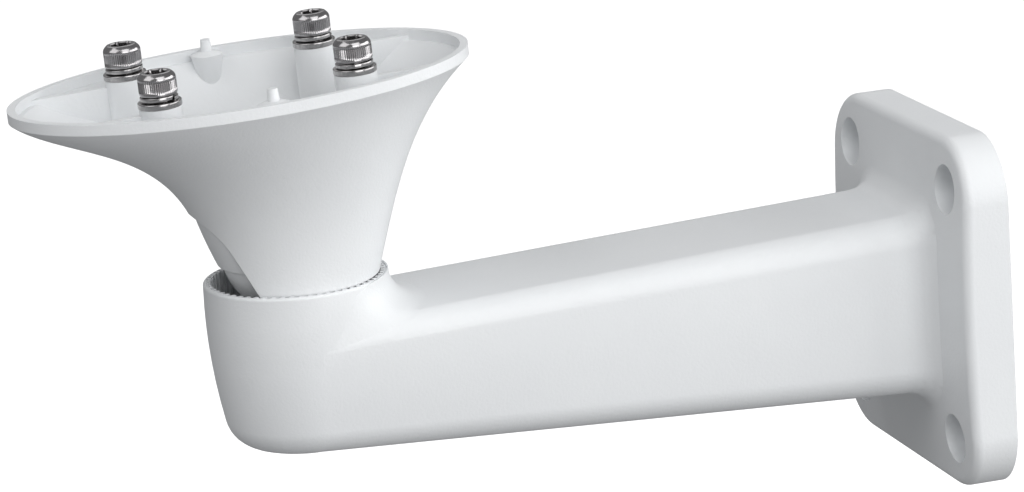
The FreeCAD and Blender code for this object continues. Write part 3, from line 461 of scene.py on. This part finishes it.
def screw_head():
    """Points and faces of the head, in millimetres above its seat.

    The flank's radius is HEAD_R - KNURL_DEPTH * w^0.8, where w is a triangle wave of the
    angle with KNURLS teeth. The socket's is (flats / 2) / cos(a), where a is the angle from
    the middle of the nearest flat.
    """
    angles = full_turn(KNURLS * KNURL_STEPS)
    flank = rounded([(0.0, 0.0), (HEAD_R - FOOT_EDGE, 0.0), (HEAD_R, FOOT_EDGE), (HEAD_R, HEAD_H - TOP_EDGE),
                     (HEAD_R - TOP_EDGE, HEAD_H), (MOUTH_R + 0.3, HEAD_H)], EDGE_ROUND, 6)
    band = np.linspace(KNURL_FROM - 0.15, KNURL_TO + 0.15, 16)
    below = flank[flank[:, 1] < KNURL_FROM - KNURL_FADE]
    above = flank[flank[:, 1] > KNURL_TO + KNURL_FADE]
    outer = np.concatenate([below, np.stack([np.full(band.size, HEAD_R), band], axis=1), above])
    rise = (np.clip((outer[:, 1] - KNURL_FROM) / KNURL_FADE, 0, 1)
            * np.clip((KNURL_TO - outer[:, 1]) / KNURL_FADE, 0, 1) * (outer[:, 0] > HEAD_R - 0.01))
    teeth = np.abs(((angles * KNURLS / (2 * np.pi)) % 1.0) * 2 - 1) ** 0.8
    outside = turned(outer, angles, -KNURL_DEPTH * rise[:, None] * teeth[None, :])
    sector = (angles + np.pi / 6) % (np.pi / 3) - np.pi / 6
    hexagon = (SOCKET_FLATS / 2) / np.cos(sector)
    depth = [0.0, MOUTH_DEPTH - 0.02, MOUTH_DEPTH, SOCKET_DEPTH * 0.5, SOCKET_DEPTH, SOCKET_DEPTH + 0.02]
    share = np.array([0.0, 0.95, 1.0, 1.0, 1.0, 0.98])[:, None]
    wall_r = MOUTH_R * (1 - share) + hexagon[None, :] * share
    wall = turned(np.stack([np.zeros(len(depth)), HEAD_H - np.array(depth)], axis=1), angles, wall_r)
    bottom = HEAD_H - SOCKET_DEPTH
    bore = turned([(BORE_R, bottom - 0.05), (0.0, bottom - BORE_DEPTH)], angles)
    points = np.concatenate([outside, wall, bore])
    return points, grid_faces(points.shape[0], angles.size)


def screw_thread():
    """Points and faces of the threaded shank, in millimetres below the seat.

    Its radius is the crest's minus the depth times a triangle wave of z/pitch - angle/turn.
    """
    angles = full_turn(40)
    z = np.linspace(0.4, -SHANK_LENGTH, 113)
    wave = np.abs(((z[:, None] / THREAD_PITCH - angles[None, :] / (2 * np.pi)) % 1.0) * 2 - 1)
    fade = np.clip((-z - 0.8) / 0.6, 0, 1) * np.clip((z + SHANK_LENGTH) / 0.5 + 0.35, 0, 1)
    point = -POINT_R * np.clip((-z - SHANK_LENGTH + 0.6) / 0.6, 0, 1)
    radius = -THREAD_DEPTH * wave * fade[:, None] + point[:, None]
    rows = turned(np.stack([np.full(z.size, THREAD_R), z], axis=1), angles, radius)
    ends = turned([(0.0, z[0]), (0.0, z[-1])], angles)
    points = np.concatenate([ends[:1], rows, ends[1:]])[::-1]
    return points, grid_faces(points.shape[0], angles.size)


def joined(*parts):
    """Several (points, faces) pairs as one pair."""
    points, faces, start = [], [], 0
    for part_points, part_faces in parts:
        flat_points = part_points.reshape(-1, 3)
        points.append(flat_points)
        faces.append(part_faces + start)
        start += len(flat_points)
    return np.concatenate(points), np.concatenate(faces)


SCREW = joined(screw_head(), screw_thread())
print("screw: %d points, %d faces" % (len(SCREW[0]), len(SCREW[1])))

# %% [markdown]
# # Washers
# The flat washer is punched from sheet and tumbled, so all its edges are a little round.
# The spring washer is a coil of one turn: a flat bar wound to a ring, cut at a slant,
# with one end standing a little above the other. It is a section carried along a circle
# that climbs evenly.

# %% Flat and spring washers
FLAT_R, FLAT_BORE, FLAT_H, TUMBLED_EDGE = 5.75, 3.2, 1.6, 0.32
SPRING_R, SPRING_BORE, SPRING_H, SPRING_BAR, SPRING_RISE, SPRING_GAP = 5.0, 3.1, 1.6, 1.1, 0.5, 9.0
SPRING_EDGE, SPRING_SLANT = 0.22, 0.35


def flat_washer(outer_r, inner_r, height):
    """Ring with rounded edges: a closed profile of (radius, height) turned round the axis."""
    corners = [(inner_r, height / 2), (inner_r, 0.0), (outer_r, 0.0), (outer_r, height), (inner_r, height),
               (inner_r, height / 2)]
    profile = rounded(corners, TUMBLED_EDGE, 4)[:-1]
    points = turned(profile, full_turn(96))
    return points, grid_faces(points.shape[0], 96, wrap_rows=True)


def spring_washer(outer_r, inner_r, height, bar, rise, gap_degrees):
    """One-turn coil: a rounded bar section at angle a stands at height rise * a / turn.

    The ends are cut at a slant, so a point's angle also grows with its height in the bar.
    Each end is closed by a fan of triangles about its middle, written as quads whose last
    two corners are the same point.
    """
    half = math.radians(gap_degrees) / 2
    count = 121
    turn = np.linspace(half, 2 * np.pi - half, count)
    section = rounded([(inner_r, bar / 2), (inner_r, 0.0), (outer_r, 0.0), (outer_r, bar), (inner_r, bar),
                       (inner_r, bar / 2)], SPRING_EDGE, 3)[:-1]
    radius, level = section.T
    climb = (height - bar - rise) / 2 + rise * np.linspace(0.0, 1.0, count)
    slant = (level - bar / 2) * SPRING_SLANT / outer_r
    angle = turn[:, None] + slant[None, :]
    heights = climb[:, None] + level[None, :]
    points = np.stack([radius * np.cos(angle), radius * np.sin(angle), heights], axis=-1)
    middles = points.mean(axis=1)[[0, -1]]
    ring = np.arange(len(section))
    hub = np.full_like(ring, points.shape[0] * points.shape[1])
    first = np.stack([ring, (ring + 1) % len(section), hub, hub], axis=1)
    last = first + np.array([1, 1, 0, 0]) * (count - 1) * len(section) + np.array([0, 0, 1, 1])
    faces = np.concatenate([grid_faces(count, len(section)), first[:, ::-1], last])
    return np.concatenate([points.reshape(-1, 3), middles]), faces


FLAT_WASHER = flat_washer(FLAT_R, FLAT_BORE, FLAT_H)
SPRING_WASHER = spring_washer(SPRING_R, SPRING_BORE, SPRING_H, SPRING_BAR, SPRING_RISE, SPRING_GAP)
print("washers: %d and %d faces" % (len(FLAT_WASHER[1]), len(SPRING_WASHER[1])))

# %% [markdown]
# # Placing the fasteners
# Each stack stands on a post of the head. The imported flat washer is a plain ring, so the
# middle of its box is on the screw's axis, half a thickness above the post. From there
# the stack is built upwards along the rim's own direction. A screw stops wherever it is
# tight, so the four hexagons point four different ways. The gap of a spring washer lags
# behind its hexagon by the same angle everywhere. Angles here are in radians.

# %% The four screws and their washers
def fastener(name, shape, seat, lift, spin, material, node_name):
    """Piece from (points, faces) in millimetres, standing lift above the seat."""
    points, faces = shape
    placed = stand_on(points * MM, Vector(seat) + RIM_UP * lift * MM, RIM_UP, spin)
    piece = mesh_object(name, placed, faces, "head", 34.0)
    piece.data.materials.append(material)
    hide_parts(node_name)
    return piece


def seat_of(tag):
    """Top of the post under a stack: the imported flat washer's middle, less half its thickness."""
    low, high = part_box("flat_washer_" + tag)
    return (low + high) / 2 - RIM_UP * FLAT_H / 2 * MM


GAP_BEHIND = 1.3
SPINS = {"front_left": 0.35, "back_left": 1.2, "front_right": 2.35, "back_right": 0.75}
for tag in SEATS:
    seat = seat_of(tag)
    spin = SPINS[tag]
    fastener("flat_washer_skin_" + tag, FLAT_WASHER, seat, 0.0, spin, WASHER_STEEL, "flat_washer_" + tag)
    fastener("spring_washer_skin_" + tag, SPRING_WASHER, seat, FLAT_H, spin - GAP_BEHIND, WASHER_STEEL,
             "spring_washer_" + tag)
    fastener("housing_screw_skin_" + tag, SCREW, seat, FLAT_H + SPRING_H, spin, SCREW_STEEL,
             "housing_screw_" + tag)
print("fasteners on", len(SEATS), "posts")

# %% [markdown]
# # Floor, light and camera
# The studio is a light tent. The floor lies well below the bracket, which hangs in
# the air as it would on a wall, and six soft panels stand round it. The strongest are
# in front and on the right. The left has only one, high up, and below there is none,
# so those sides fall off to grey. The room beyond the panels is dim, which gives the
# steel something dark to reflect between the streaks of the panels.

# %% The floor
FLOOR_LEVEL, FLOOR_HALF, GLOW = -0.6, 14.0, 0.85


def floor():
    """Square of pale paper that glows a little and neither lights the bracket nor shows in it."""
    signs = ((-1, -1), (1, -1), (1, 1), (-1, 1))
    corners = [(x * FLOOR_HALF, y * FLOOR_HALF, FLOOR_LEVEL) for x, y in signs]
    mesh = bpy.data.meshes.new("studio_floor")
    mesh.from_pydata(corners, [], [(0, 1, 2, 3)])
    made = bpy.data.objects.new("studio_floor", mesh)
    bpy.context.scene.collection.objects.link(made)
    material, _, shader, _ = new_material("pale_paper_sweep", "#F4F4F4", Roughness=0.9)
    shader.inputs["Emission Color"].default_value = linear("#FFFFFF")
    shader.inputs["Emission Strength"].default_value = GLOW
    mesh.materials.append(material)
    made.visible_diffuse = False
    made.visible_glossy = False
    made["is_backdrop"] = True
    return made


floor()
print("floor %.1f m below the wall face's middle" % -FLOOR_LEVEL)

# %% The lights
def soft_light(name, place, aim, side, power):
    """Square white panel at a place, turned towards aim; power in watts."""
    data = bpy.data.lights.new(name, "AREA")
    data.shape, data.size, data.size_y, data.energy = "RECTANGLE", side, side, power
    made = bpy.data.objects.new(name, data)
    made.location = place
    made.rotation_euler = (Vector(aim) - Vector(place)).to_track_quat("-Z", "Y").to_euler()
    bpy.context.scene.collection.objects.link(made)
    return made


MIDDLE = (cad_low + cad_high) / 2
PANEL, ROOM_LIGHT = 1.3, 0.25
PANELS = {
    "panel_front": ((0.1, -1.9, 0.3), 15.4),
    "panel_front_right": ((1.5, -1.2, 0.6), 12.2),
    "panel_right": ((1.9, -0.1, 0.5), 14.3),
    "panel_front_above": ((0.1, -1.2, 1.4), 9.4),
    "panel_left_above": ((-1.3, -0.3, 1.1), 7.2),
    "panel_back_above": ((0.0, 1.3, 1.3), 4.4),
}
for name, (place, power) in PANELS.items():
    soft_light(name, place, MIDDLE, PANEL, power)
print("panels:", len(PANELS))

world = bpy.data.worlds.new("dim_room")
bpy.context.scene.world = world
world.use_nodes = True
room = world.node_tree.nodes["Background"]
room.inputs["Color"].default_value = linear("#FCFDFF")
room.inputs["Strength"].default_value = ROOM_LIGHT

# %% [markdown]
# # The camera
# The bracket is seen from the front and a little above, turned by 16 degrees, with a
# long lens, so that its lines stay nearly parallel. The camera is leaned over by four
# degrees, which sets the wall plate upright in the frame. Two boxes are measured last:
# that of the model and that of what is shown, which must not grow past it.

# %% Camera from three angles, a lens and a place
TURN, DOWN, LEAN = math.radians(16.44), math.radians(14.09), math.radians(-4.01)
LENS, SENSOR = 150.42, 36.0
OFFSET = Vector((120.42, 9.74, 1194.91)) * MM


def camera():
    """Camera whose view holds the wall face's middle at OFFSET: right, down and ahead of the lens."""
    ahead = Vector((math.sin(TURN) * math.cos(DOWN), math.cos(TURN) * math.cos(DOWN), -math.sin(DOWN)))
    level = Vector((math.cos(TURN), -math.sin(TURN), 0.0))
    above = level.cross(ahead)
    right = level * math.cos(LEAN) + above * math.sin(LEAN)
    upward = above * math.cos(LEAN) - level * math.sin(LEAN)
    data = bpy.data.cameras.new("view")
    data.lens, data.sensor_width, data.clip_start = LENS, SENSOR, 0.05
    made = bpy.data.objects.new("view", data)
    place = -(right * OFFSET.x - upward * OFFSET.y + ahead * OFFSET.z)
    made.matrix_world = Matrix.Translation(place) @ Matrix((right, upward, -ahead)).transposed().to_4x4()
    bpy.context.scene.collection.objects.link(made)
    bpy.context.scene.camera = made
    return made


camera()
bpy.context.scene.view_settings.view_transform = "Standard"
print("camera %.2f m away with a lens of %.0f mm" % (OFFSET.length, LENS))

# %% Boxes of the model and of what is shown
shown_low, shown_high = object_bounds()
growth = [*(cad_low - shown_low), *(shown_high - cad_high)]
print("grown by, mm:", [round(v / MM, 2) for v in growth])
